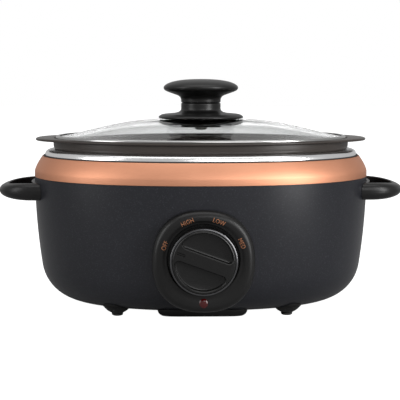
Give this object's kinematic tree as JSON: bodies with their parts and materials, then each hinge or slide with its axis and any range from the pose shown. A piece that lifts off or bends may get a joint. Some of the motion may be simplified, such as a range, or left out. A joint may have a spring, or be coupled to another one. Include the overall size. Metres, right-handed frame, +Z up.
{
  "type": "slow cooker",
  "caption": "Oval electric slow cooker with a charcoal body, copper rim band, lift-out non-stick pot, glass lid with a round knob, side handles and a front rotary dial.",
  "frame": {"origin": "centre of the overall box, on the surface that the feet stand on", "axes": "+X to the viewer's right along the long side, -Y out of the front where the dial is, +Z up"},
  "size_m": [0.38, 0.2502, 0.2131],
  "materials": {
    "charcoal_paint": "matt charcoal heat-resistant paint on steel",
    "copper_satin": "satin copper-coloured metallic coating on steel",
    "polished_steel": "polished",
    "lid_trim_steel": "polished rolled trim",
    "nonstick_coating": "dark bronze-grey non-stick coating on cast aluminium",
    "black_plastic": "satin black moulded plastic",
    "dial_ring_chrome": "dark satin chrome",
    "clear_glass": "clear tempered",
    "lamp_glass": "clear",
    "red_lens": "transparent red, glossy",
    "phenolic": "moulded",
    "foot_rubber": "matt",
    "zinc_plate": "zinc plated",
    "aluminium_sheet": "bright sheet",
    "cast_aluminium": "as cast",
    "mica_heater": "mica and foil laminate",
    "glass_fibre": "needled glass-fibre blanket",
    "brass": "turned",
    "fastener_steel": "zinc plated",
    "wire_insulation": "silicone sleeved"
  },
  "bodies": {
    "base": {"outer_shell": "charcoal_paint", "rim_band": "copper_satin", "heating_well": "polished_steel", "control_bezel": "black_plastic", "front_foot": "black_plastic", "handle_left": "black_plastic", "handle_right": "black_plastic", "cord_gland": "black_plastic", "foot_left_front": "black_plastic", "foot_left_back": "black_plastic", "foot_right_front": "black_plastic", "foot_right_back": "black_plastic", "indicator_lamp": "lamp_glass", "indicator_lens": "red_lens", "rotary_switch": "phenolic", "terminal_block": "phenolic", "foot_pad_left_front": "foot_rubber", "foot_pad_left_back": "foot_rubber", "foot_pad_right_front": "foot_rubber", "foot_pad_right_back": "foot_rubber", "base_plate": "zinc_plate", "thermal_fuse": "zinc_plate", "heat_reflector": "aluminium_sheet", "stud_sleeve": "aluminium_sheet", "heater_plate": "cast_aluminium", "heater_band": "mica_heater", "insulation_wrap": "glass_fibre", "earth_screw": "brass", "switch_nut": "fastener_steel", "panel_screw_left": "fastener_steel", "panel_screw_right": "fastener_steel", "heater_clamp": "fastener_steel", "fuse_clip": "fastener_steel", "centre_stud": "fastener_steel", "stud_washer": "fastener_steel", "stud_nut": "fastener_steel", "base_screw_1": "fastener_steel", "base_screw_2": "fastener_steel", "base_screw_3": "fastener_steel", "base_screw_4": "fastener_steel", "handle_screw_left_front": "fastener_steel", "handle_screw_left_back": "fastener_steel", "handle_screw_right_front": "fastener_steel", "handle_screw_right_back": "fastener_steel", "lead_supply": "wire_insulation", "lead_switch": "wire_insulation", "lead_heater": "wire_insulation", "lead_lamp": "wire_insulation"},
    "control_knob": {"control_knob": "black_plastic", "dial_ring": "dial_ring_chrome", "switch_shaft": "fastener_steel", "knob_clip": "fastener_steel"},
    "cooking_pot": {"cooking_pot": "nonstick_coating"},
    "lid": {"lid_glass": "clear_glass", "lid_rim": "lid_trim_steel", "lid_knob_base": "black_plastic", "lid_knob_grip": "black_plastic", "lid_washer": "black_plastic", "lid_screw": "fastener_steel"}
  },
  "joints": [
    {"name": "control_knob_turn", "type": "hinge", "parent": "base", "child": "control_knob", "pos_m": [0, -0.10635, 0.0605], "axis": [0, 1, 0], "range_deg": [0, 135]},
    {"name": "pot_lift", "type": "slide", "parent": "base", "child": "cooking_pot", "axis": [0, 0, 1], "range_m": [0, 0.11]},
    {"name": "lid_lift", "type": "slide", "parent": "cooking_pot", "child": "lid", "axis": [0, 0, 1], "range_m": [0, 0.08]}
  ]
}
